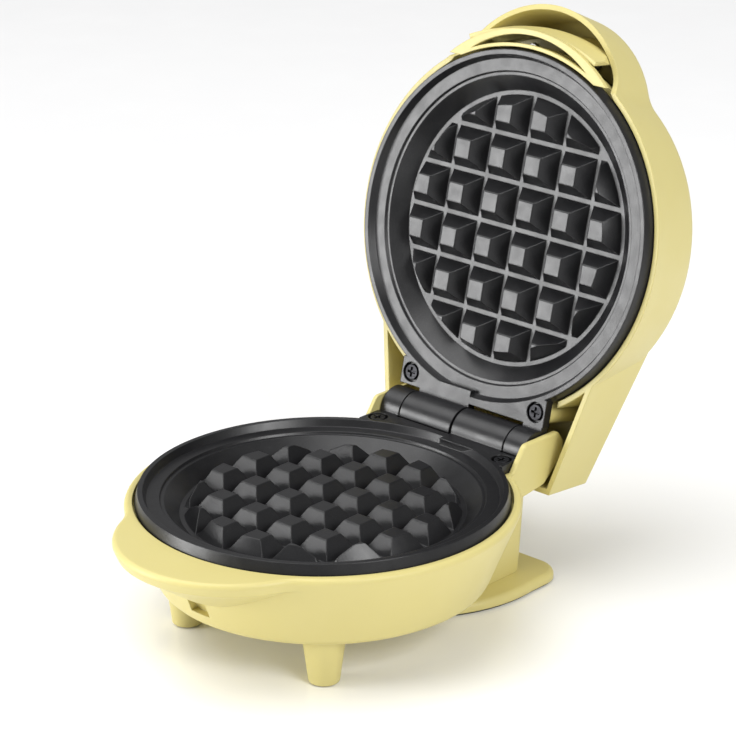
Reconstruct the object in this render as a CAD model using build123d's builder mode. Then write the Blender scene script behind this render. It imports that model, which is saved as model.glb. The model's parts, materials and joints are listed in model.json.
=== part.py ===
from build123d import *
from math import atan2, cos, degrees, hypot, radians, sin, sqrt, tan
import os

# Mini waffle maker, open on its rear hinge. Millimetres, +Z up, front towards -Y. The origin is
# under the middle of the open object, on the surface it stands on. Lid pieces are drawn in the LID
# frame, which is the BASE frame swung open about the hinge, so every height in it is a height above
# the seam of the closed plates.

# ---- Where things are -----------------------------------------------------------------------
SEAM_Z = 46.7  # height of the plane where the closed plates meet
PLATE_Y = -27.0  # middle of the lower plate
LID_OPENING = 103.0  # swing from closed to the open stop, degrees
HINGE_REACH = 68.1  # from the middle of the plate to the hinge axis
HINGE_DROP = 0.9  # hinge axis below the seam
LIP_GAP = 0.3  # between the two lips of the closed plates

# ---- Cooking plates: radii, and depths below the lip -------------------------------------------
LIP_INNER_R, LIP_OUTER_R = 57.3, 58.9
FLANK_R, FLANK_DEPTH = 59.9, 3.5
BAND_INNER_R, BAND_OUTER_R, BAND_DEPTH = 52.0, 56.1, 2.45
STEP_R, STEP_DEPTH = 50.6, 3.3
CAVITY_R, GROOVE_DEPTH = 45.7, 7.9
PEG_FIELD_R = 44.2
PEG_PITCH, PEGS_ACROSS = 15.0, 6
PEG_BASE, PEG_TOP, PEG_TOP_DEPTH = 13.4, 6.5, 2.2
PLATE_WALL = 2.6
SKIRT_R, SKIRT_DEPTH = 58.4, 7.0
EAR_HALF_WIDTH, EAR_BACK, EAR_THICKNESS = 31.3, 59.8, 3.2
SCREW_X, SCREW_Y, EAR_SCREW_SEAT = 27.2, 55.4, 1.5
BARREL_R, BARREL_BORE_R = 7.3, 2.05
KNUCKLES = ((-31.0, -23.0), (0.5, 22.5))  # stretches of the hinge that one plate owns
BOSS_R, BOSS_DEPTH = 5.0, 16.8

# ---- Moulded case -------------------------------------------------------------------------------
WALL = 2.2
RIM_INNER_R, RIM_OUTER_R = 60.6, 63.2
RIM_TOP, RIM_SIDE = 3.4, 5.2  # below the seam
BOWL_FOOT_R, BOWL_DEPTH = 53.0, 30.5
LEDGE_Y, LEDGE_R, LEDGE_LOW_R = -39.9, 37.6, 20.0
LEDGE_SKIRT, LEDGE_DEPTH, LEDGE_BLEND = 7.8, 19.0, 18.0
NOTCH_HALF_WIDTH, NOTCH_TOP, NOTCH_BOTTOM, NOTCH_DEPTH, NOTCH_BACKING = 4.0, 19.0, 25.5, 2.6, 4.2
POST_HALF_WIDTH, POST_FRONT, POST_BACK, POST_TOP, POST_DRAFT = 28.0, 22.0, 66.0, 12.0, 3.0
SADDLE_FLOOR = 9.3  # below the seam
PLATE_SEAT = SKIRT_DEPTH + 0.2  # below the seam
FOOT_SCREWS = [(-22.6, 27.4), (22.6, 27.4), (-22.6, 57.0), (22.6, 57.0)]
COVER_SCREWS = [(0.0, -25.0), (16.5, 3.5), (-16.5, 3.5)]
FOOT_TOP, PAD_TOP, PAD_INSET = 42.7, 45.8, 1.0  # heights below the seam
CHEEK_INNER, CHEEK_OUTER = 31.6, 33.4
LEG_X, LEG_Y, LEG_TOP_R, LEG_FOOT_R, LEG_BLEND = 30.3, -31.8, 7.1, 4.9, 2.5
LEG_PAD_R, LEG_PAD_DEPTH, LEG_PAD_DROP = 3.4, 2.0, 0.3
COVER_R, COVER_Y, COVER_THICKNESS = 24.0, -6.0, 2.0

LID_RIM, LID_TOP, LID_WALL = 3.5, 34.4, 1.8  # heights above the seam
HANDLE_BLEND, LID_ROOF_EDGE = 8.0, 8.0
LINER_BOTTOM, LINER_THICKNESS, LINER_INNER_R, LINER_OUTER_R = 0.7, 1.6, 59.9, 66.0
LINER_TIP_R, LINER_TIP_Y = 48.6, -17.4
SLOT_INNER_R, SLOT_OUTER_R, SLOT_OUTER_Y = 61.1, 40.3, -23.9
GRIP_WALL_FOOT_R, GRIP_WALL_R, GRIP_WALL_TOP, GRIP_HALF_ANGLE = 65.9, 66.8, 22.0, 24.0
GRIP_FLANGE_R, GRIP_FLANGE_BOTTOM = 56.5, 20.2
LENS_X, LENS_Y, LENS_R = 6.0, 12.0, 2.4
LID_R, LID_TAPER = 62.2, 11.9
HANDLE_Y, HANDLE_R = -39.3, 36.9
TAIL_ROOT_X, TAIL_ROOT_Y, TAIL_END_X, TAIL_END_Y = 50.9, 21.0, 35.9, 81.5
TAIL_DRAFT, TAIL_ROOF_EDGE = 5.5, 3.5
ROOF_CREASE_Y, ROOF_SLOPE = 30.0, 0.145  # the roof falls away behind this line

# ---- Heater pack, depths below the lip ------------------------------------------------------------
PLATE_BACK = GROOVE_DEPTH + PLATE_WALL
HEATER_R, HEATER_TUBE_R, HEATER_BEND_R, HEATER_TAIL = 30.0, 3.1, 5.0, 5.0
HEATER_PIN_X, HEATER_PIN_Y, HEATER_PIN_R, HEATER_PIN_LENGTH = 6.97, 37.5, 1.2, 7.0
CLAMP_THICKNESS = 1.0
REFLECTOR_FLAT_R, REFLECTOR_R, REFLECTOR_RISE, REFLECTOR_THICKNESS = 43.0, 49.5, 5.0, 0.6
THERMOSTAT_X, THERMOSTAT_Y, THERMOSTAT_R = 13.0, -7.5, 6.5
PIN_R = 2.0
EAR_SHANK_R, SMALL_SHANK_R, PILOT_GAP = 1.25, 1.1, 0.05
BUSHING_R, CORD_BORE_R = 5.0, 3.2
TERMINAL_TOP, TERMINAL_Y = 32.0, 36.0
FUSE_X, FUSE_Y = 13.0, -7.5
RING_GAP_X = 33.2
LEAD_R, LEAD_BEND = 0.9, 2.5


def swing(frame, angle):
    """The same frame after turning about the hinge axis."""
    to_hinge = Location((0, HINGE_Y, HINGE_Z))
    turn = Location((0, 0, 0), (angle, 0, 0))
    return Plane(to_hinge * turn * to_hinge.inverse() * frame.location)


def upright(frame):
    """A section plane through a frame's axis: its x is the frame's x, its y is the frame's z."""
    return Plane(origin=frame.origin, x_dir=frame.x_dir, z_dir=-frame.y_dir)


def sideways(frame, x=0.0):
    """A side-view plane at x: its x is the frame's y, its y is the frame's z."""
    return Plane(origin=frame.origin + frame.x_dir * x, x_dir=frame.y_dir, z_dir=frame.x_dir)


def axle(frame):
    """The frame's own z axis."""
    return Axis(frame.origin, frame.z_dir)


def lobed_outline(plane, radius, lobe_y, lobe_r, blend):
    """Sketch of a circle with a round lobe towards the front, joined by two hollow blends."""
    reach, lobe_reach = radius + blend, lobe_r + blend
    centre_y = (reach**2 - lobe_reach**2 + lobe_y**2) / (2 * lobe_y)
    centre = Vector(sqrt(reach**2 - centre_y**2), centre_y)
    lobe_centre = Vector(0, lobe_y)
    on_rim = centre * (radius / reach)
    on_lobe = lobe_centre + (centre - lobe_centre) * (lobe_r / lobe_reach)
    hollow = centre + ((on_rim + on_lobe) * 0.5 - centre).normalized() * blend
    shoulder = ((on_lobe - lobe_centre).normalized() + Vector(0, -1)).normalized() * lobe_r
    with BuildSketch(plane) as outline:
        with BuildLine():
            ThreePointArc((0, radius), (radius, 0), on_rim)
            ThreePointArc(on_rim, hollow, on_lobe)
            ThreePointArc(on_lobe, lobe_centre + shoulder, (0, lobe_y - lobe_r))
            mirror(about=Plane.YZ)
        make_face()
    return outline


def placed(piece, frame):
    """A copy of a piece that was drawn on Plane.XY, moved onto a frame."""
    with BuildPart() as copy:
        with Locations(frame.location):
            add(piece.part)
    return copy


def foot_outline(plane, inset):
    """Sketch of the rear foot: bowed sides, rounded corners, straight back."""
    with BuildSketch(plane) as outline:
        with BuildLine():
            ThreePointArc(FOOT_FRONT, FOOT_WAIST, FOOT_HIP)
            Polyline(FOOT_HIP, (FOOT_HIP[0], FOOT_BACK), (0, FOOT_BACK))
            Line(FOOT_FRONT, (0, FOOT_FRONT[1]))
            mirror(about=Plane.YZ)
        make_face()
        fillet(outline.vertices().group_by(Axis.Y)[-1].filter_by(lambda v: abs(v.X) > 1), 9)
        fillet(outline.vertices().group_by(Axis.Y)[0].filter_by(lambda v: abs(v.X) > 1), 8)
        if inset:
            offset(amount=-inset)
    return outline


def save(piece, name):
    """Label a finished piece and write it as its own STEP file."""
    piece.part.label = name
    export_step(piece.part, f"parts/{name}.step")


HINGE_Y = PLATE_Y + HINGE_REACH
HINGE_Z = SEAM_Z - HINGE_DROP
BASE = Plane(origin=(0, PLATE_Y, SEAM_Z))
LID = swing(BASE, -LID_OPENING)
LOWER_FACE = BASE.offset(-LIP_GAP / 2)
UPPER_FACE = Plane(origin=LID.offset(LIP_GAP / 2).origin, x_dir=-LID.x_dir, z_dir=-LID.z_dir)


# ---- Cooking plates -------------------------------------------------------------------------------
def pegs(face):
    """The waffle pegs: a square grid of blunt pyramids inside a blunt cone over the round field."""
    height = GROOVE_DEPTH - PEG_TOP_DEPTH
    taper = degrees(atan2((PEG_BASE - PEG_TOP) / 2, height))
    reach = PEG_PITCH * (PEGS_ACROSS - 1) / 2
    steps = [PEG_PITCH * i - reach for i in range(PEGS_ACROSS)]
    seats = [(x, y) for x in steps for y in steps if x * x + y * y < PEG_FIELD_R**2]
    with BuildPart() as field:
        with BuildSketch(face.offset(-GROOVE_DEPTH)):
            with Locations(*seats):
                Rectangle(PEG_BASE, PEG_BASE)
        extrude(amount=height, taper=taper)
        tops = field.faces().group_by(axle(face))[-1]
        fillet(tops.edges(), 0.7)
        with BuildSketch(face.offset(-GROOVE_DEPTH)):
            Circle(PEG_FIELD_R)
        extrude(amount=height, taper=taper, mode=Mode.INTERSECT)
    return field


def waffle_plate(face, axis_height):
    """One cast plate. face lies on its lip with +Z out of the cooking side and +Y to the hinge."""
    field = pegs(face)
    with BuildPart() as plate:
        with BuildSketch(upright(face)):
            with BuildLine():
                Polyline(
                    (0, -GROOVE_DEPTH),
                    (CAVITY_R, -GROOVE_DEPTH),
                    (STEP_R, -STEP_DEPTH),
                    (STEP_R + 1, -STEP_DEPTH),
                    (BAND_INNER_R, -BAND_DEPTH),
                    (BAND_OUTER_R, -BAND_DEPTH),
                    (LIP_INNER_R, 0),
                    (LIP_OUTER_R, 0),
                    (FLANK_R, -FLANK_DEPTH),
                    (FLANK_R, -FLANK_DEPTH - 0.7),
                    (SKIRT_R, -FLANK_DEPTH - 1.2),
                    (SKIRT_R, -SKIRT_DEPTH),
                    (SKIRT_R - 2.4, -SKIRT_DEPTH),
                    (BAND_OUTER_R - 1, -BAND_DEPTH - PLATE_WALL),
                    (STEP_R + 2, -BAND_DEPTH - PLATE_WALL),
                    (CAVITY_R + 2, -PLATE_BACK),
                    (0, -PLATE_BACK),
                    close=True,
                )
            make_face()
        revolve(axis=axle(face))
        add(field.part)
        # ear towards the hinge, flush with the lip
        with BuildSketch(face):
            with Locations((0, (STEP_R + EAR_BACK) / 2)):
                Rectangle(2 * EAR_HALF_WIDTH, EAR_BACK - STEP_R)
            Circle(LIP_INNER_R + 0.5, mode=Mode.SUBTRACT)
        extrude(amount=-EAR_THICKNESS)
        # this plate's knuckles, each on a web that grows out of the ear
        for start, end in KNUCKLES:
            with BuildSketch(sideways(face, start)):
                with Locations((HINGE_REACH, axis_height)):
                    Circle(BARREL_R)
                with Locations((HINGE_REACH - BARREL_R - 1.5, -EAR_THICKNESS / 2)):
                    Rectangle(8, EAR_THICKNESS)
            extrude(amount=end - start)
        with BuildSketch(sideways(face, -EAR_HALF_WIDTH - 1)):
            with Locations((HINGE_REACH, axis_height)):
                Circle(BARREL_BORE_R)
        extrude(amount=2 * EAR_HALF_WIDTH + 2, mode=Mode.SUBTRACT)
        # counterbored screw holes in the ear
        with Locations(face):
            with Locations((SCREW_X, SCREW_Y), (-SCREW_X, SCREW_Y)):
                CounterBoreHole(radius=1.8, counter_bore_radius=3.4, counter_bore_depth=1.5, depth=6)
        # boss for the clamp screw in the middle of the back
        with BuildSketch(face.offset(-BOSS_DEPTH)):
            Circle(BOSS_R)
            Circle(1.5, mode=Mode.SUBTRACT)
        extrude(amount=BOSS_DEPTH - PLATE_BACK)
    return plate


lower_plate = waffle_plate(LOWER_FACE, LIP_GAP / 2 - HINGE_DROP)
upper_plate = waffle_plate(UPPER_FACE, LIP_GAP / 2 + HINGE_DROP)


# ---- Heater pack, the same behind both plates -------------------------------------------------------
def ring_heater(face):
    """Tubular ring element; its two ends turn out towards the hinge and end in cold pins."""
    depth = PLATE_BACK + HEATER_TUBE_R + 0.05
    with BuildPart() as element:
        with BuildLine(face.offset(-depth)) as path:
            ring = CenterArc((0, 0), HEATER_R, 110, 320)
            right = JernArc(ring @ 1, ring % 1, HEATER_BEND_R, -70)
            left = JernArc(ring @ 0, (ring % 0) * -1, HEATER_BEND_R, 70)
            Line(right @ 1, right @ 1 + Vector(0, HEATER_TAIL))
            Line(left @ 1, left @ 1 + Vector(0, HEATER_TAIL))
        with BuildSketch(Plane(path.wires()[0] ^ 0)):
            Circle(HEATER_TUBE_R)
        sweep(path=path.wires()[0])
        with BuildSketch(Plane(origin=face.offset(-depth).from_local_coords((0, HEATER_PIN_Y, 0)),
                               x_dir=face.x_dir, z_dir=face.y_dir)):
            with Locations((-HEATER_PIN_X, 0), (HEATER_PIN_X, 0)):
                Circle(HEATER_PIN_R)
        extrude(amount=HEATER_PIN_LENGTH)
    return element


def clamp_spider(face):
    """Three-armed sheet clamp that presses the ring against the plate."""
    depth = PLATE_BACK + 2 * HEATER_TUBE_R + 0.1
    with BuildPart() as clamp:
        with BuildSketch(face.offset(-depth)):
            Circle(9)
            with PolarLocations(0, 3, start_angle=30):
                with Locations((HEATER_R / 2 + 2, 0)):
                    SlotOverall(HEATER_R + 8, 9)
            Circle(2.2, mode=Mode.SUBTRACT)
        extrude(amount=-CLAMP_THICKNESS)
    return clamp


def reflector(face):
    """Dished heat shield under the clamp, notched where the heater pins pass."""
    top = PLATE_BACK + 2 * HEATER_TUBE_R + 0.1 + CLAMP_THICKNESS
    with BuildPart() as shield:
        with BuildSketch(upright(face)):
            with BuildLine():
                Polyline(
                    (2.2, -top),
                    (REFLECTOR_FLAT_R, -top),
                    (REFLECTOR_R, -top + REFLECTOR_RISE),
                    (REFLECTOR_R, -top + REFLECTOR_RISE - 1.1 * REFLECTOR_THICKNESS),
                    (REFLECTOR_FLAT_R, -top - REFLECTOR_THICKNESS),
                    (2.2, -top - REFLECTOR_THICKNESS),
                    close=True,
                )
            make_face()
        revolve(axis=axle(face))
        with BuildSketch(face.offset(-top + REFLECTOR_RISE)):
            with Locations((0, REFLECTOR_R)):
                Rectangle(2 * HEATER_PIN_X + 12, 2 * (REFLECTOR_R - REFLECTOR_FLAT_R) - 1)
        extrude(amount=-REFLECTOR_RISE - 2, mode=Mode.SUBTRACT)
    return shield


def pan_screws(seats, head_r, head_height, shank_r, length, cross):
    """Cross-head screws, one on each seat plane, heads on the seat's +Z side."""
    with BuildPart() as screws:
        for seat in seats:
            with BuildSketch(seat):
                Circle(head_r)
            extrude(amount=head_height, taper=12)
            with BuildSketch(seat):
                Circle(shank_r)
            extrude(amount=-length)
            with BuildSketch(seat.offset(head_height)):
                Rectangle(cross, cross / 4)
                Rectangle(cross / 4, cross)
            extrude(amount=-head_height * 0.7, mode=Mode.SUBTRACT)
    return screws


def seats_on(frame, places, flip=False):
    """Screw seats at (x, y, z) places of a frame, facing its +Z, or its -Z when flipped."""
    facing = frame.z_dir * (-1 if flip else 1)
    return [Plane(origin=frame.from_local_coords(p), x_dir=frame.x_dir, z_dir=facing) for p in places]


def thermostat(face):
    """Disc thermostat with two blade terminals, against the back of the plate."""
    x, y = THERMOSTAT_X, THERMOSTAT_Y
    with BuildPart() as disc:
        with BuildSketch(face.offset(-PLATE_BACK)):
            with Locations((x, y)):
                Circle(THERMOSTAT_R)
        extrude(amount=-2)
        with BuildSketch(face.offset(-PLATE_BACK - 2)):
            with Locations((x, y)):
                Circle(THERMOSTAT_R - 1)
        extrude(amount=-2.6)
        with BuildSketch(face.offset(-PLATE_BACK - 3)):
            with Locations((x, y - THERMOSTAT_R - 1), (x, y + THERMOSTAT_R + 1)):
                Rectangle(3, 6)
        extrude(amount=-0.8)
    return disc


element = ring_heater(Plane.XY)
lower_heater = placed(element, LOWER_FACE)
upper_heater = placed(element, UPPER_FACE)
lower_heater_clamp = clamp_spider(LOWER_FACE)
upper_heater_clamp = clamp_spider(UPPER_FACE)
lower_reflector = reflector(LOWER_FACE)
upper_reflector = reflector(UPPER_FACE)
lower_thermostat = thermostat(LOWER_FACE)
upper_thermostat = thermostat(UPPER_FACE)

EAR_SCREWS = [(SCREW_X, SCREW_Y, -EAR_SCREW_SEAT), (-SCREW_X, SCREW_Y, -EAR_SCREW_SEAT)]
lower_plate_screws = pan_screws(seats_on(LOWER_FACE, EAR_SCREWS), 2.8, 1.4, EAR_SHANK_R, 9.5, 3.4)
upper_plate_screws = pan_screws(seats_on(UPPER_FACE, EAR_SCREWS), 2.8, 1.4, EAR_SHANK_R, 9.5, 3.4)

CLAMP_SCREW = [(0, 0, -PLATE_BACK - 2 * HEATER_TUBE_R - 0.1 - CLAMP_THICKNESS - REFLECTOR_THICKNESS)]
lower_clamp_screw = pan_screws(seats_on(LOWER_FACE, CLAMP_SCREW, flip=True), 4.0, 2.0, 1.45, 7, 4.0)
upper_clamp_screw = pan_screws(seats_on(UPPER_FACE, CLAMP_SCREW, flip=True), 4.0, 2.0, 1.45, 7, 4.0)


# ---- Base -------------------------------------------------------------------------------------------
BOWL_TAPER = degrees(atan2(RIM_OUTER_R - BOWL_FOOT_R, BOWL_DEPTH - RIM_SIDE))


def bowl_solid(inset, top, bottom):
    """The tapered bowl with its front ledge, between two depths, set in by inset all round."""
    draft = (top - RIM_SIDE) * tan(radians(BOWL_TAPER)) + inset
    skirt_draft = (LEDGE_SKIRT - RIM_SIDE) * tan(radians(BOWL_TAPER)) + inset
    foot_draft = (bottom - RIM_SIDE) * tan(radians(BOWL_TAPER)) + inset
    rim = lobed_outline(BASE.offset(-top), RIM_OUTER_R - draft, LEDGE_Y, LEDGE_R - draft, LEDGE_BLEND)
    with BuildPart() as bowl:
        with BuildSketch(BASE.offset(-top)):
            Circle(RIM_OUTER_R - draft)
        with BuildSketch(BASE.offset(-bottom)):
            Circle(RIM_OUTER_R - foot_draft)
        loft()
        extrude(rim.sketch, amount=top - LEDGE_SKIRT, taper=BOWL_TAPER)
        with BuildSketch(BASE.offset(-LEDGE_SKIRT)):
            with Locations((0, LEDGE_Y)):
                Circle(LEDGE_R - skirt_draft)
        with BuildSketch(BASE.offset(-LEDGE_DEPTH)):
            with Locations((0, LEDGE_Y)):
                Circle(LEDGE_LOW_R - inset)
        loft()
    return bowl


def front_wall(outside, inside, top, bottom):
    """Side-view strip that follows the bowl's front wall, from outside it to inside it."""
    surface = [-RIM_OUTER_R + (depth - RIM_SIDE) * tan(radians(BOWL_TAPER)) for depth in (top, bottom)]
    with BuildSketch(sideways(BASE)) as strip:
        with BuildLine():
            Polyline(
                (surface[0] - outside, -top),
                (surface[0] + inside, -top),
                (surface[1] + inside, -bottom),
                (surface[1] - outside, -bottom),
                close=True,
            )
        make_face()
    return strip


outer_bowl = bowl_solid(0, RIM_SIDE, BOWL_DEPTH)
inner_bowl = bowl_solid(WALL, RIM_TOP + WALL, BOWL_DEPTH - WALL)
rim_band = lobed_outline(BASE.offset(-RIM_SIDE), RIM_OUTER_R, LEDGE_Y, LEDGE_R, LEDGE_BLEND)

LEG_PLACES = [(LEG_X, LEG_Y), (-LEG_X, LEG_Y)]
FOOT_COUNTERBORE = 1.7
FOOT_FRONT, FOOT_WAIST, FOOT_HIP, FOOT_BACK = (26.5, 24.0), (35.2, 40.0), (37.3, 60.0), 77.0
CORD_EXIT_Z = -33.0
CORD_EXIT_Y = POST_BACK + (FOOT_TOP + CORD_EXIT_Z) * tan(radians(POST_DRAFT))
cord_exit = Plane(
    origin=BASE.from_local_coords((0, CORD_EXIT_Y, CORD_EXIT_Z)),
    x_dir=(1, 0, 0),
    z_dir=(0, cos(radians(POST_DRAFT)), -sin(radians(POST_DRAFT))),
)
POST_MIDDLE = (POST_FRONT + POST_BACK) / 2
POST_LENGTH = POST_BACK - POST_FRONT

with BuildPart() as base_shell:
    add(outer_bowl.part)
    extrude(rim_band.sketch, amount=RIM_SIDE - RIM_TOP)
    fillet(base_shell.edges().group_by(Axis.Z)[0], 3.5)
    fillet(base_shell.edges().group_by(Axis.Z)[-1], 1.5)
    # rear post, a little wider towards the top
    with BuildSketch(BASE.offset(-FOOT_TOP)):
        with Locations((0, POST_MIDDLE)):
            RectangleRounded(2 * POST_HALF_WIDTH, POST_LENGTH, 3.5)
    extrude(amount=FOOT_TOP - POST_TOP, taper=-POST_DRAFT)
    # hinge saddle: a block behind the bowl with a cheek at each end
    with BuildSketch(sideways(BASE, -CHEEK_OUTER)) as cheek:
        with BuildLine():
            Polyline(
                (46, -POST_TOP - 3),
                (70, -POST_TOP),
                (79.6, -4),
                (79.6, 1),
                (77, 4.8),
                (60, 4.8),
                (54, -RIM_TOP),
                (46, -RIM_TOP),
                close=True,
            )
        make_face()
        fillet(cheek.vertices().filter_by_position(Axis.X, 59, 80), 2.5)
    extrude(amount=2 * CHEEK_OUTER)
    for x in (-CHEEK_OUTER, CHEEK_OUTER):
        outer_face = base_shell.faces().filter_by(Axis.X).group_by(Axis.X)[0 if x < 0 else -1]
        fillet(outer_face.edges().filter_by_position(Axis.Y, PLATE_Y + 62, PLATE_Y + 80), 0.8)
    # room for the knuckles and for the plate's ear
    with BuildSketch(sideways(BASE, -CHEEK_INNER)):
        with Locations((HINGE_REACH, -HINGE_DROP)):
            Circle(BARREL_R + 1)
        with Locations((HINGE_REACH + 4, 8)):
            Rectangle(24, 2 * (8 + HINGE_DROP))
        with Locations((HINGE_REACH + 10, 0)):
            Rectangle(20, 2 * SADDLE_FLOOR)
        with Locations((50, 8 - EAR_THICKNESS - 0.4)):
            Rectangle(40, 16)
    extrude(amount=2 * CHEEK_INNER, mode=Mode.SUBTRACT)
    # front legs, each with a socket for its pad
    with BuildSketch(BASE.offset(-BOWL_DEPTH + 1)):
        with Locations(*LEG_PLACES):
            Circle(LEG_TOP_R)
    leg_length = SEAM_Z - LEG_PAD_DROP - BOWL_DEPTH + 1
    extrude(amount=-leg_length, taper=degrees(atan2(LEG_TOP_R - LEG_FOOT_R, leg_length)))
    fillet(base_shell.edges().filter_by(GeomType.CIRCLE).group_by(Axis.Z)[0], 0.8)
    roots = [Vector(x, PLATE_Y + y, SEAM_Z - BOWL_DEPTH) for x, y in LEG_PLACES]
    leg_roots = base_shell.edges().filter_by(
        lambda edge: edge.center().Z > SEAM_Z - BOWL_DEPTH - 1
        and min((edge.center() - root).length for root in roots) < LEG_TOP_R + 1
    )
    fillet(leg_roots, LEG_BLEND)
    with BuildSketch(BASE.offset(-SEAM_Z)):
        with Locations(*LEG_PLACES):
            Circle(LEG_PAD_R)
    extrude(amount=LEG_PAD_DEPTH, mode=Mode.SUBTRACT)
    # inside: bowl, plate well, post
    add(inner_bowl.part, mode=Mode.SUBTRACT)
    with BuildSketch(BASE.offset(-EAR_THICKNESS - 0.4)):
        with Locations((SCREW_X, SCREW_Y), (-SCREW_X, SCREW_Y)):
            Circle(4)
    extrude(amount=-11)
    with BuildSketch(BASE.offset(-PLATE_SEAT)):
        Circle(RIM_INNER_R)
    extrude(amount=PLATE_SEAT + 10, mode=Mode.SUBTRACT)
    with BuildSketch(BASE.offset(-FOOT_TOP)):
        with Locations((0, POST_MIDDLE)):
            RectangleRounded(2 * (POST_HALF_WIDTH - WALL), POST_LENGTH - 2 * WALL, 1.5)
    extrude(amount=FOOT_TOP - POST_TOP - WALL, taper=-POST_DRAFT, mode=Mode.SUBTRACT)
    # shelf that carries the plate
    with BuildSketch(BASE.offset(-PLATE_SEAT)):
        Circle(RIM_INNER_R + 0.5)
        Circle(SKIRT_R - 2.4, mode=Mode.SUBTRACT)
    extrude(amount=-1.6)
    # bosses for the foot-plate screws and the cover screws
    with BuildSketch(BASE.offset(-FOOT_TOP)):
        with Locations(*FOOT_SCREWS):
            Circle(3.5)
    extrude(amount=12)
    with BuildSketch(BASE.offset(-BOWL_DEPTH + COVER_THICKNESS)):
        with Locations(*COVER_SCREWS):
            Circle(3)
    extrude(amount=6)
    # underside opening with a rebate for the cover
    with BuildSketch(BASE.offset(-BOWL_DEPTH)):
        with Locations((0, COVER_Y)):
            Circle(COVER_R + 0.3)
    extrude(amount=COVER_THICKNESS, mode=Mode.SUBTRACT)
    # pilot holes of the plate, foot and cover screws
    with Locations(*seats_on(BASE, [(x, y, -EAR_THICKNESS - 0.4) for x, y, z in EAR_SCREWS])):
        Hole(radius=EAR_SHANK_R + PILOT_GAP, depth=9)
    with Locations(*seats_on(BASE, [(x, y, -FOOT_TOP) for x, y in FOOT_SCREWS], flip=True)):
        Hole(radius=SMALL_SHANK_R + PILOT_GAP, depth=10)
    cover_seats = [(x, y, -BOWL_DEPTH + COVER_THICKNESS) for x, y in COVER_SCREWS]
    with Locations(*seats_on(BASE, cover_seats, flip=True)):
        Hole(radius=SMALL_SHANK_R + PILOT_GAP, depth=6)
    # cord hole in the back of the post
    with Locations(cord_exit):
        Hole(radius=BUSHING_R + 0.1, depth=8)
    # notch in the front wall under the ledge, with a thicker wall behind it
    backing = front_wall(-0.5, NOTCH_BACKING, NOTCH_TOP - 2, NOTCH_BOTTOM + 2)
    extrude(backing.sketch, amount=NOTCH_HALF_WIDTH + 1.5, both=True)
    notch = front_wall(10, NOTCH_DEPTH, NOTCH_TOP, NOTCH_BOTTOM)
    extrude(notch.sketch, amount=NOTCH_HALF_WIDTH, both=True, mode=Mode.SUBTRACT)

with BuildPart() as bottom_cover:
    with BuildSketch(BASE.offset(-BOWL_DEPTH)):
        with Locations((0, COVER_Y)):
            Circle(COVER_R)
        with Locations(*COVER_SCREWS):
            Circle(1.6, mode=Mode.SUBTRACT)
        with GridLocations(0, 5, 1, 5):
            with Locations((0, COVER_Y)):
                SlotOverall(22, 2, mode=Mode.SUBTRACT)
    extrude(amount=COVER_THICKNESS - 0.1)

COVER_HEADS = [(x, y, -BOWL_DEPTH) for x, y in COVER_SCREWS]
bottom_cover_screws = pan_screws(seats_on(BASE, COVER_HEADS, flip=True), 2.6, 1.2, SMALL_SHANK_R, 7, 3.0)

with BuildPart() as leg_pads:
    with BuildSketch(BASE.offset(-SEAM_Z)):
        with Locations(*LEG_PLACES):
            Circle(LEG_PAD_R - 0.05)
    extrude(amount=LEG_PAD_DEPTH - 0.05)

with BuildPart() as stand_foot:
    extrude(foot_outline(BASE.offset(-FOOT_TOP), 0).sketch, amount=FOOT_TOP - PAD_TOP)
    fillet(stand_foot.edges().group_by(Axis.Z)[-1], 2.0)
    with Locations(*seats_on(BASE, [(x, y, -PAD_TOP) for x, y in FOOT_SCREWS], flip=True)):
        CounterBoreHole(radius=1.6, counter_bore_radius=3.0, counter_bore_depth=FOOT_COUNTERBORE, depth=4)

FOOT_HEADS = [(x, y, -PAD_TOP + FOOT_COUNTERBORE) for x, y in FOOT_SCREWS]
stand_foot_screws = pan_screws(seats_on(BASE, FOOT_HEADS, flip=True), 2.7, 1.5, SMALL_SHANK_R, 9, 3.0)

with BuildPart() as stand_pad:
    extrude(foot_outline(BASE.offset(-SEAM_Z), PAD_INSET).sketch, amount=SEAM_Z - PAD_TOP)

with BuildPart() as cord_bushing:
    with BuildSketch(cord_exit):
        Circle(BUSHING_R + 1.6)
    extrude(amount=1.4)
    with BuildSketch(cord_exit):
        Circle(BUSHING_R)
    extrude(amount=-5)
    with BuildSketch(cord_exit.offset(1.4)):
        Circle(CORD_BORE_R)
    extrude(amount=-6.4, mode=Mode.SUBTRACT)

with BuildPart() as hinge_pin:
    with BuildSketch(sideways(BASE, -CHEEK_INNER + 0.3)):
        with Locations((HINGE_REACH, -HINGE_DROP)):
            Circle(PIN_R)
    extrude(amount=2 * CHEEK_INNER - 0.6)

with BuildPart() as terminal_block:
    with BuildSketch(BASE.offset(-TERMINAL_TOP)):
        with Locations((0, TERMINAL_Y)):
            Rectangle(24, 9)
    extrude(amount=-8)
    with Locations(*seats_on(BASE, [(x, TERMINAL_Y, -TERMINAL_TOP) for x in (-8, 0, 8)])):
        CounterBoreHole(radius=1.5, counter_bore_radius=2.5, counter_bore_depth=1.5, depth=5)

with BuildPart() as thermal_fuse:
    with BuildSketch(sideways(LOWER_FACE, -FUSE_X - 6)):
        with Locations((FUSE_Y, -PLATE_BACK - 2.1)):
            Circle(2)
    extrude(amount=12)


# ---- Lid ---------------------------------------------------------------------------------------------
def above_roof(inset):
    """Everything over the lid's roof, which falls away behind its crease."""
    end_y = 90
    end_height = LID_TOP - ROOF_SLOPE * (end_y - ROOF_CREASE_Y)
    with BuildPart() as air:
        with BuildSketch(sideways(LID, -80)):
            with BuildLine():
                Polyline((ROOF_CREASE_Y, LID_TOP - inset), (end_y, end_height - inset), (end_y, 50),
                         (ROOF_CREASE_Y, 50), close=True)
            make_face()
        extrude(amount=160)
    return air


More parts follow.
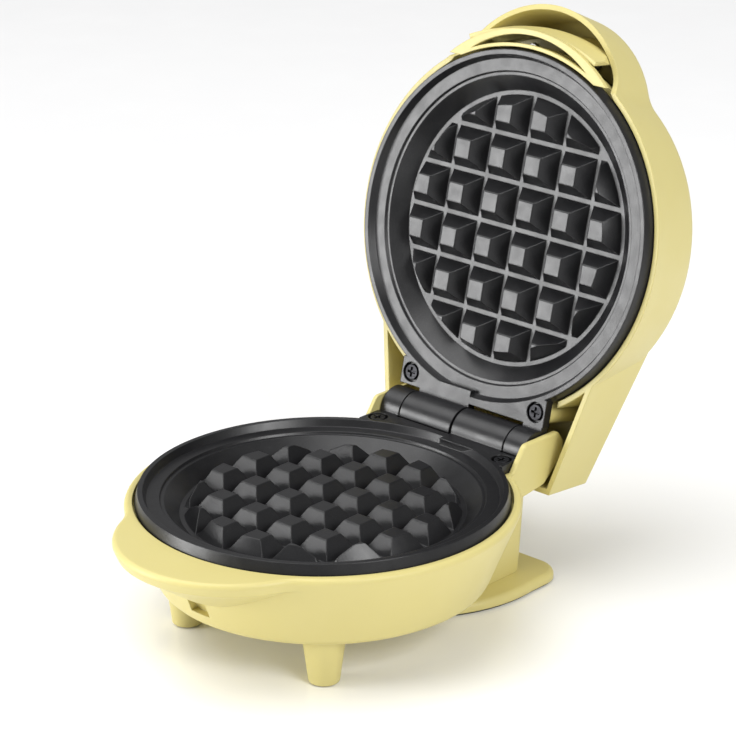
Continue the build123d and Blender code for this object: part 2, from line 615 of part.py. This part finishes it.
def lid_solid(inset):
    """The lid's outer form, set in by inset on every side but the open one."""
    rim = LID.offset(LID_RIM)
    height = LID_TOP - LID_RIM - inset
    to_hinge = Axis(LID.origin, LID.y_dir)
    air = above_roof(inset)
    outline = lobed_outline(rim, LID_R - inset, HANDLE_Y, HANDLE_R - inset, HANDLE_BLEND + inset)
    with BuildPart() as drum:
        extrude(outline.sketch, amount=height, taper=LID_TAPER)
        fillet(drum.faces().sort_by(axle(LID))[-1].edges(), LID_ROOF_EDGE - inset)
        add(air.part, mode=Mode.SUBTRACT)
    lean = (TAIL_ROOT_X - TAIL_END_X) / (TAIL_END_Y - TAIL_ROOT_Y)
    root_x = TAIL_ROOT_X - inset * hypot(1, lean)
    end_y = TAIL_END_Y - inset
    end_x = root_x - lean * (end_y - TAIL_ROOT_Y)
    with BuildPart() as body:
        with BuildSketch(rim):
            with BuildLine():
                Polyline((-root_x, TAIL_ROOT_Y), (-end_x, end_y), (end_x, end_y), (root_x, TAIL_ROOT_Y),
                         close=True)
            make_face()
        extrude(amount=height, taper=TAIL_DRAFT)
        add(air.part, mode=Mode.SUBTRACT)
        slope = body.faces().filter_by(lambda f: f.normal_at().dot(LID.z_dir) > 0.9).sort_by(to_hinge)[-1]
        fillet(slope.edges() - slope.edges().sort_by(to_hinge)[:1], TAIL_ROOF_EDGE - inset)
        add(drum.part)
    return body


outer_lid = lid_solid(0)
inner_lid = lid_solid(LID_WALL)
LINER_SCREWS = [(-13.2, -57.9), (13.2, -57.9)]
LINER_HEADS = [(x, y, GRIP_FLANGE_BOTTOM) for x, y in LINER_SCREWS]

# wall round the plate where the tail carries on
with BuildPart() as tail_ring:
    with BuildSketch(LID.offset(LID_RIM)):
        Circle(LID_R)
        Circle(LID_R - LID_WALL, mode=Mode.SUBTRACT)
        with Locations((0, -25)):
            Rectangle(140, 126, mode=Mode.SUBTRACT)
        Rectangle(2 * RING_GAP_X, 140, mode=Mode.SUBTRACT)
    extrude(amount=20)
    add(outer_lid.part, mode=Mode.INTERSECT)

with BuildPart() as lid_shell:
    add(outer_lid.part)
    add(inner_lid.part, mode=Mode.SUBTRACT)
    # the handle's edge rises towards the front, so that a finger can get under it
    with BuildSketch(sideways(LID, -45)):
        with BuildLine():
            Spline((-51.6, LID_RIM), (-56.4, 8.2), (-64, 9.6), (-72, 10.8), (-80, 12))
            Polyline((-80, 12), (-80, 0), (-51.6, 0), (-51.6, LID_RIM))
        make_face()
    extrude(amount=90, mode=Mode.SUBTRACT)
    add(tail_ring.part)
    # ledge that carries the plate
    with BuildSketch(LID.offset(PLATE_SEAT)):
        Circle(LID_R - LID_WALL)
        Circle(SKIRT_R - 2.4, mode=Mode.SUBTRACT)
        with Locations((0, 60)):
            Rectangle(2 * RING_GAP_X, 40, mode=Mode.SUBTRACT)
    extrude(amount=1.6)
    # bosses for the ear screws and the liner screws
    with BuildSketch(LID.offset(EAR_THICKNESS + 0.4)):
        with Locations((SCREW_X, SCREW_Y), (-SCREW_X, SCREW_Y)):
            Circle(4)
    extrude(amount=26)
    with BuildSketch(LID.offset(GRIP_WALL_TOP)):
        with Locations(*LINER_SCREWS):
            Circle(3)
    extrude(amount=LID_TOP - LID_WALL + 0.5 - GRIP_WALL_TOP)
    # clearance round the plate
    with BuildSketch(upright(LID)):
        with BuildLine():
            Polyline(
                (0, 0),
                (FLANK_R + 0.3, 0),
                (FLANK_R + 0.3, FLANK_DEPTH + 1.2),
                (SKIRT_R + 0.4, FLANK_DEPTH + 1.6),
                (SKIRT_R + 0.4, PLATE_SEAT),
                (0, PLATE_SEAT),
                close=True,
            )
        make_face()
    revolve(axis=axle(LID), mode=Mode.SUBTRACT)
    with Locations(*seats_on(LID, [(x, y, EAR_THICKNESS + 0.4) for x, y, z in EAR_SCREWS], flip=True)):
        Hole(radius=EAR_SHANK_R + PILOT_GAP, depth=10)
    with Locations(*seats_on(LID, [(x, y, GRIP_WALL_TOP) for x, y in LINER_SCREWS], flip=True)):
        Hole(radius=SMALL_SHANK_R + PILOT_GAP, depth=8)
    # holes for the lamp lenses
    with Locations(*seats_on(LID, [(-LENS_X, LENS_Y, LID_TOP), (LENS_X, LENS_Y, LID_TOP)])):
        Hole(radius=LENS_R + 0.1, depth=4)

with BuildPart() as outside_cavity:
    with BuildSketch(LID.offset(LID_RIM)):
        Rectangle(200, 200)
    extrude(amount=LID_TOP)
    add(lid_solid(LID_WALL + 0.25).part, mode=Mode.SUBTRACT)

with BuildPart() as grip_liner:
    with BuildSketch(LID.offset(LINER_BOTTOM)):
        Circle(LINER_OUTER_R)
        with Locations((0, LINER_TIP_Y)):
            Circle(LINER_TIP_R, mode=Mode.INTERSECT)
        Circle(LINER_INNER_R, mode=Mode.SUBTRACT)
        with Locations((0, -48)):
            Rectangle(140, 10, mode=Mode.SUBTRACT)
        with BuildSketch(mode=Mode.PRIVATE) as slot:
            with Locations((0, SLOT_OUTER_Y)):
                Circle(SLOT_OUTER_R)
            Circle(SLOT_INNER_R, mode=Mode.SUBTRACT)
        add(slot.sketch, mode=Mode.SUBTRACT)
    extrude(amount=LINER_THICKNESS)
    # wall behind the slot, leaning out to the finger recess, with a flange for its screws
    grip_start = LID.x_dir * -sin(radians(GRIP_HALF_ANGLE)) - LID.y_dir * cos(radians(GRIP_HALF_ANGLE))
    with BuildSketch(Plane(origin=LID.origin, x_dir=grip_start, z_dir=grip_start.cross(LID.z_dir))):
        with BuildLine():
            Polyline(
                (GRIP_WALL_FOOT_R, LINER_BOTTOM + 1),
                (GRIP_WALL_R, 9),
                (GRIP_WALL_R, 12),
                (64.6, 16),
                (64.6, LID_TOP),
                (63, LID_TOP),
                (63, GRIP_WALL_TOP),
                (GRIP_FLANGE_R, GRIP_WALL_TOP),
                (GRIP_FLANGE_R, GRIP_FLANGE_BOTTOM),
                (63, GRIP_FLANGE_BOTTOM),
                (63, 15.4),
                (GRIP_WALL_R - 1.6, 11.6),
                (GRIP_WALL_R - 1.6, 9.3),
                (GRIP_WALL_FOOT_R - 1.5, LINER_BOTTOM + 1),
                close=True,
            )
        make_face()
    revolve(axis=axle(LID), revolution_arc=2 * GRIP_HALF_ANGLE)
    add(outside_cavity.part, mode=Mode.SUBTRACT)
    with Locations(*seats_on(LID, LINER_HEADS, flip=True)):
        Hole(radius=1.5, depth=4)

grip_liner_screws = pan_screws(seats_on(LID, LINER_HEADS, flip=True), 2.4, 1.2, SMALL_SHANK_R, 7, 2.8)

with BuildPart() as indicator_lenses:
    with BuildSketch(LID.offset(LID_TOP - LID_WALL - 1)):
        with Locations((-LENS_X, LENS_Y), (LENS_X, LENS_Y)):
            Circle(LENS_R)
    extrude(amount=LID_WALL + 1.8)
    fillet(indicator_lenses.edges().sort_by(axle(LID))[-2:], 0.7)

with BuildPart() as lamp_holder:
    with BuildSketch(LID.offset(LID_TOP - LID_WALL - 7)):
        with Locations((0, LENS_Y)):
            Rectangle(4 * LENS_X, 9)
    extrude(amount=6)
    with BuildSketch(LID.offset(LID_TOP - LID_WALL - 6)):
        with Locations((-LENS_X, LENS_Y), (LENS_X, LENS_Y)):
            Circle(LENS_R)
    extrude(amount=5, mode=Mode.SUBTRACT)
    # two legs up to the roof
    with BuildSketch(LID.offset(LID_TOP - LID_WALL - 7)):
        with Locations((-2 * LENS_X - 1.5, LENS_Y), (2 * LENS_X + 1.5, LENS_Y)):
            Rectangle(3, 6)
    extrude(amount=7)


# ---- Leads ---------------------------------------------------------------------------------------------
def leads(frame, routes):
    """Insulated leads along straight runs with rounded corners, in a frame's coordinates."""
    with BuildPart() as bundle:
        for route in routes:
            points = [frame.from_local_coords(point) for point in route]
            with BuildLine() as path:
                FilletPolyline(*points, radius=LEAD_BEND)
            with BuildSketch(Plane(path.wires()[0] ^ 0)):
                Circle(LEAD_R)
            sweep(path=path.wires()[0])
    return bundle


PIN_END_Y = HEATER_PIN_Y + HEATER_PIN_LENGTH
PIN_Z = PLATE_BACK + HEATER_TUBE_R + 0.05 + LIP_GAP / 2
lower_leads = leads(BASE, [
    [(x, PIN_END_Y, -PIN_Z), (x, PIN_END_Y + 6, -PIN_Z), (x, PIN_END_Y + 6, -27),
     (x * 1.15, TERMINAL_Y, -27), (x * 1.15, TERMINAL_Y, -TERMINAL_TOP)]
    for x in (-HEATER_PIN_X, HEATER_PIN_X)
])
upper_leads = leads(LID, [
    [(x, PIN_END_Y, PIN_Z), (x, PIN_END_Y + 6, PIN_Z), (x, PIN_END_Y + 6, 21.5), (x, 16, 21.5), (x, 16, 25.2)]
    for x in (-HEATER_PIN_X, HEATER_PIN_X)
])

os.makedirs("parts", exist_ok=True)
save(base_shell, "base_shell")
save(bottom_cover, "bottom_cover")
save(bottom_cover_screws, "bottom_cover_screws")
save(leg_pads, "leg_pads")
save(stand_foot, "stand_foot")
save(stand_foot_screws, "stand_foot_screws")
save(stand_pad, "stand_pad")
save(cord_bushing, "cord_bushing")
save(terminal_block, "terminal_block")
save(hinge_pin, "hinge_pin")
save(lower_plate, "lower_plate")
save(lower_plate_screws, "lower_plate_screws")
save(lower_heater, "lower_heater")
save(lower_heater_clamp, "lower_heater_clamp")
save(lower_reflector, "lower_reflector")
save(lower_clamp_screw, "lower_clamp_screw")
save(lower_thermostat, "lower_thermostat")
save(thermal_fuse, "thermal_fuse")
save(lower_leads, "lower_leads")
save(lid_shell, "lid_shell")
save(grip_liner, "grip_liner")
save(grip_liner_screws, "grip_liner_screws")
save(upper_plate, "upper_plate")
save(upper_plate_screws, "upper_plate_screws")
save(upper_heater, "upper_heater")
save(upper_heater_clamp, "upper_heater_clamp")
save(upper_reflector, "upper_reflector")
save(upper_clamp_screw, "upper_clamp_screw")
save(upper_thermostat, "upper_thermostat")
save(upper_leads, "upper_leads")
save(indicator_lenses, "indicator_lenses")
save(lamp_holder, "lamp_holder")
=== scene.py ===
import json
from math import cos, radians, sin

import bpy
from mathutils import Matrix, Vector

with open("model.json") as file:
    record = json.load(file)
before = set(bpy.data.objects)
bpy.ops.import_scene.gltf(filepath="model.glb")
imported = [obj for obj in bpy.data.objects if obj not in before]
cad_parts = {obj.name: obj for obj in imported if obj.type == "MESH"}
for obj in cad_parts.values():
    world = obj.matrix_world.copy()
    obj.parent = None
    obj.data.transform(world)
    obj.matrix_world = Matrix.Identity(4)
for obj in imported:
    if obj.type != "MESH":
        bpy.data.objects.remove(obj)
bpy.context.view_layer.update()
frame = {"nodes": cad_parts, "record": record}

MM = 0.001
NODES = frame["nodes"]

# ---- Camera: where it stands relative to the object ------------------------------------------
CAMERA_AZIMUTH = radians(42.71)  # round from straight in front, towards +X
CAMERA_ELEVATION = radians(21.01)
CAMERA_DISTANCE = 907.4 * MM
CAMERA_TARGET = Vector((16.6, -24.0, 90.2)) * MM
CAMERA_LENS = 143.6  # on a 36 mm wide sensor


def add_camera():
    """The camera at the viewing angle of the reference, aimed at the target."""
    data = bpy.data.cameras.new("camera")
    data.lens = CAMERA_LENS
    data.sensor_width = 36
    data.clip_start = 0.01
    camera = bpy.data.objects.new("camera", data)
    bpy.context.scene.collection.objects.link(camera)
    back = Vector((
        sin(CAMERA_AZIMUTH) * cos(CAMERA_ELEVATION),
        -cos(CAMERA_AZIMUTH) * cos(CAMERA_ELEVATION),
        sin(CAMERA_ELEVATION),
    ))
    camera.location = CAMERA_TARGET + back * CAMERA_DISTANCE
    camera.rotation_euler = back.to_track_quat("Z", "Y").to_euler()
    bpy.context.scene.camera = camera


# ---- Materials ---------------------------------------------------------------------------------
EDGE_SAMPLES = 6  # rays that round an edge in the shading


class Shader:
    """A material under construction: a Principled shader and short calls for the nodes round it."""

    def __init__(self, name, roughness, metallic=0.0):
        self.material = bpy.data.materials.new(name)
        self.material.use_nodes = True
        self.tree = self.material.node_tree
        self.bsdf = self.tree.nodes["Principled BSDF"]
        self.bsdf.inputs["Roughness"].default_value = roughness
        self.bsdf.inputs["Metallic"].default_value = metallic
        self.coordinates = self.tree.nodes.new("ShaderNodeTexCoord").outputs["Object"]

    def node(self, kind, **inputs):
        """A new node of that kind, each named input linked to a socket or set to a value."""
        made = self.tree.nodes.new(kind)
        for name, value in inputs.items():
            socket = made.inputs[name.replace("_", " ")]
            if isinstance(value, bpy.types.NodeSocket):
                self.tree.links.new(value, socket)
            else:
                socket.default_value = value
        return made

    def noise(self, per_metre, detail=3.0, roughness=0.5):
        """Even noise with that many cells to the metre."""
        texture = self.node(
            "ShaderNodeTexNoise",
            Vector=self.coordinates,
            Scale=per_metre,
            Detail=detail,
            Roughness=roughness,
        )
        return texture.outputs["Fac"]

    def spread(self, value, low, high, start=0.3, end=0.7):
        """value mapped from start..end onto low..high."""
        mapped = self.node("ShaderNodeMapRange", Value=value)
        mapped.inputs["From Min"].default_value = start
        mapped.inputs["From Max"].default_value = end
        mapped.inputs["To Min"].default_value = low
        mapped.inputs["To Max"].default_value = high
        return mapped.outputs["Result"]

    def blend(self, factor, first, second):
        """Colour between first and second."""
        mix = self.tree.nodes.new("ShaderNodeMix")
        mix.data_type = "RGBA"
        self.tree.links.new(factor, mix.inputs["Factor"])
        mix.inputs["A"].default_value = (*first, 1)
        mix.inputs["B"].default_value = (*second, 1)
        return mix.outputs["Result"]

    def colour(self, value):
        """Let value drive the base colour."""
        self.tree.links.new(value, self.bsdf.inputs["Base Color"])

    def roughness(self, value):
        """Let value drive the roughness."""
        self.tree.links.new(value, self.bsdf.inputs["Roughness"])

    def relief(self, height, depth, strength=1.0, edge_radius=0.0):
        """Surface relief of that depth in metres, over edges softened by edge_radius."""
        bump = self.node("ShaderNodeBump", Height=height, Strength=strength, Distance=depth)
        if edge_radius:
            edge = self.node("ShaderNodeBevel", Radius=edge_radius)
            edge.samples = EDGE_SAMPLES
            self.tree.links.new(edge.outputs["Normal"], bump.inputs["Normal"])
        self.tree.links.new(bump.outputs["Normal"], self.bsdf.inputs["Normal"])


# The case colour, mixed cloud by cloud from two near shades.
YELLOW = (0.64, 0.562, 0.23)
YELLOW_WARM = (0.615, 0.535, 0.205)


def moulded_plastic(name, light, dark):
    """Satin moulded plastic: faint cloudiness, fine spark-eroded grain, slightly uneven gloss."""
    shader = Shader(name, roughness=0.42)
    shader.colour(shader.blend(shader.spread(shader.noise(18), 0, 1), light, dark))
    shader.roughness(shader.spread(shader.noise(60, 5), 0.36, 0.48))
    shader.relief(shader.noise(2600, 2), 0.03 * MM, 0.5, edge_radius=0.5 * MM)
    shader.bsdf.inputs["Specular IOR Level"].default_value = 0.45
    shader.bsdf.inputs["Subsurface Weight"].default_value = 0.04
    shader.bsdf.inputs["Subsurface Radius"].default_value = (1.0 * MM, 0.8 * MM, 0.3 * MM)
    return shader.material


def non_stick(name):
    """Black non-stick coat over a casting: soft sheen, fine speckle and a pebbled surface."""
    shader = Shader(name, roughness=0.4)
    speckle = shader.spread(shader.noise(4200, 2), 0, 1, 0.56, 0.72)
    shader.colour(shader.blend(speckle, (0.008, 0.008, 0.009), (0.022, 0.022, 0.024)))
    shader.roughness(shader.spread(shader.noise(220, 4), 0.29, 0.37))
    shader.relief(shader.noise(1900, 3), 0.05 * MM, 0.5, edge_radius=0.45 * MM)
    shader.bsdf.inputs["Specular IOR Level"].default_value = 0.5
    return shader.material


def rolled_metal(name, light, dark, roughness, grain_per_metre=900):
    """Metal with a fine streaked grain and faint tarnish."""
    shader = Shader(name, roughness=roughness, metallic=1.0)
    stretch = shader.node("ShaderNodeMapping", Vector=shader.coordinates)
    stretch.inputs["Scale"].default_value = (0.06, 1, 1)
    streaks = shader.node(
        "ShaderNodeTexNoise", Vector=stretch.outputs["Vector"], Scale=grain_per_metre, Detail=3.0
    ).outputs["Fac"]
    shader.colour(shader.blend(shader.spread(shader.noise(40), 0, 1), light, dark))
    shader.roughness(shader.spread(streaks, roughness - 0.06, roughness + 0.08))
    shader.relief(streaks, 0.01 * MM, 0.4, edge_radius=0.2 * MM)
    return shader.material


def matt_solid(name, light, dark, roughness, grain_per_metre=1500, grain=0.04):
    """Rubber, ceramic or woven sleeve: mottled and matt, with a visible grain."""
    shader = Shader(name, roughness=roughness)
    shader.colour(shader.blend(shader.spread(shader.noise(150, 4), 0, 1), light, dark))
    shader.roughness(shader.spread(shader.noise(500), roughness - 0.08, roughness + 0.06))
    shader.relief(shader.noise(grain_per_metre), grain * MM, 0.6, edge_radius=0.3 * MM)
    return shader.material


def lamp_lens(name):
    """Tinted clear moulding with a faintly wavy inner face."""
    shader = Shader(name, roughness=0.08)
    waves = shader.spread(shader.noise(700), 0, 1)
    shader.colour(shader.blend(waves, (0.70, 0.05, 0.02), (0.5, 0.03, 0.015)))
    shader.relief(shader.noise(900), 0.04 * MM, 0.5)
    shader.bsdf.inputs["Transmission Weight"].default_value = 0.35
    shader.bsdf.inputs["Coat Weight"].default_value = 0.5
    return shader.material


def dress_nodes():
    """Every CAD node gets the material of its slot."""
    looks = {
        "yellow_case": moulded_plastic("yellow_case", YELLOW, YELLOW_WARM),
        "yellow_liner": moulded_plastic("yellow_liner", YELLOW, YELLOW_WARM),
        "non_stick_plate": non_stick("non_stick_plate"),
        "dark_rubber": matt_solid("dark_rubber", (0.03, 0.03, 0.03), (0.05, 0.05, 0.048), 0.75),
        "cream_ceramic": matt_solid("cream_ceramic", (0.7, 0.67, 0.58), (0.62, 0.58, 0.5), 0.6),
        "lead_insulation": matt_solid(
            "lead_insulation", (0.7, 0.69, 0.64), (0.5, 0.49, 0.45), 0.85, 2500, 0.15
        ),
        "bright_steel": rolled_metal("bright_steel", (0.66, 0.66, 0.66), (0.5, 0.5, 0.5), 0.22),
        "bare_steel": rolled_metal("bare_steel", (0.5, 0.5, 0.5), (0.4, 0.4, 0.39), 0.34),
        "heater_steel": rolled_metal("heater_steel", (0.2, 0.19, 0.18), (0.12, 0.11, 0.1), 0.5),
        "bare_aluminium": rolled_metal(
            "bare_aluminium", (0.8, 0.8, 0.81), (0.68, 0.68, 0.69), 0.3
        ),
        "dark_screw": rolled_metal(
            "dark_screw", (0.06, 0.06, 0.065), (0.03, 0.03, 0.033), 0.5, 2400
        ),
        "lamp_lens": lamp_lens("lamp_lens"),
    }
    for part in frame["record"]["subparts"]:
        node = NODES[part["node"]]
        node.data.materials.clear()
        node.data.materials.append(looks[part["material_slot"]])


# ---- Studio ------------------------------------------------------------------------------------
FLOOR_HALF_SIDE = 6.0  # metres
SOFTBOX_SIDE = 0.5
SOFTBOX_AIM = Vector((0, 0, 0.08))
SKY_ENERGY = 2.3
SKY_WIDTH = radians(60)  # the angle the overhead light fills
SKY_TILT = (radians(12), radians(-14), 0)
WORLD_LIGHT = 0.33
WORLD_SEEN_EXTRA = 0.6  # added to WORLD_LIGHT where the camera sees the surroundings


def add_floor():
    """A pale glossy table top, far larger than the view."""
    mesh = bpy.data.meshes.new("floor")
    reach = FLOOR_HALF_SIDE
    corners = [(-reach, -reach, 0), (reach, -reach, 0), (reach, reach, 0), (-reach, reach, 0)]
    mesh.from_pydata(corners, [], [(0, 1, 2, 3)])
    floor = bpy.data.objects.new("floor", mesh)
    bpy.context.scene.collection.objects.link(floor)
    shader = Shader("floor", roughness=0.18)
    cloud = shader.spread(shader.noise(6), 0, 1)
    shader.colour(shader.blend(cloud, (0.98, 0.98, 0.98), (0.965, 0.965, 0.97)))
    shader.roughness(shader.spread(shader.noise(30), 0.16, 0.22))
    floor.data.materials.append(shader.material)


def add_softbox(name, place, watts):
    """A square area light at place, aimed at the object."""
    data = bpy.data.lights.new(name, "AREA")
    data.size = SOFTBOX_SIDE
    data.energy = watts
    light = bpy.data.objects.new(name, data)
    light.location = place
    light.rotation_euler = (Vector(place) - SOFTBOX_AIM).to_track_quat("Z", "Y").to_euler()
    bpy.context.scene.collection.objects.link(light)


def add_studio():
    """Surroundings, a wide overhead light, and softboxes to the front left and to the right."""
    world = bpy.data.worlds.new("studio")
    world.use_nodes = True
    background = world.node_tree.nodes["Background"]
    background.inputs["Color"].default_value = (1, 1, 1, 1)
    rays = world.node_tree.nodes.new("ShaderNodeLightPath")
    strength = world.node_tree.nodes.new("ShaderNodeMath")
    strength.operation = "MULTIPLY_ADD"
    world.node_tree.links.new(rays.outputs["Is Camera Ray"], strength.inputs[0])
    strength.inputs[1].default_value = WORLD_SEEN_EXTRA
    strength.inputs[2].default_value = WORLD_LIGHT
    world.node_tree.links.new(strength.outputs["Value"], background.inputs["Strength"])
    bpy.context.scene.world = world
    bpy.context.scene.view_settings.view_transform = "Standard"
    add_softbox("key", (-0.73, -0.89, 0.2), 10)
    add_softbox("fill", (1.0, -0.2, 0.7), 8)
    sky = bpy.data.lights.new("sky", "SUN")
    sky.energy = SKY_ENERGY
    sky.angle = SKY_WIDTH
    overhead = bpy.data.objects.new("sky", sky)
    overhead.rotation_euler = SKY_TILT
    bpy.context.scene.collection.objects.link(overhead)


add_camera()
dress_nodes()
add_floor()
add_studio()
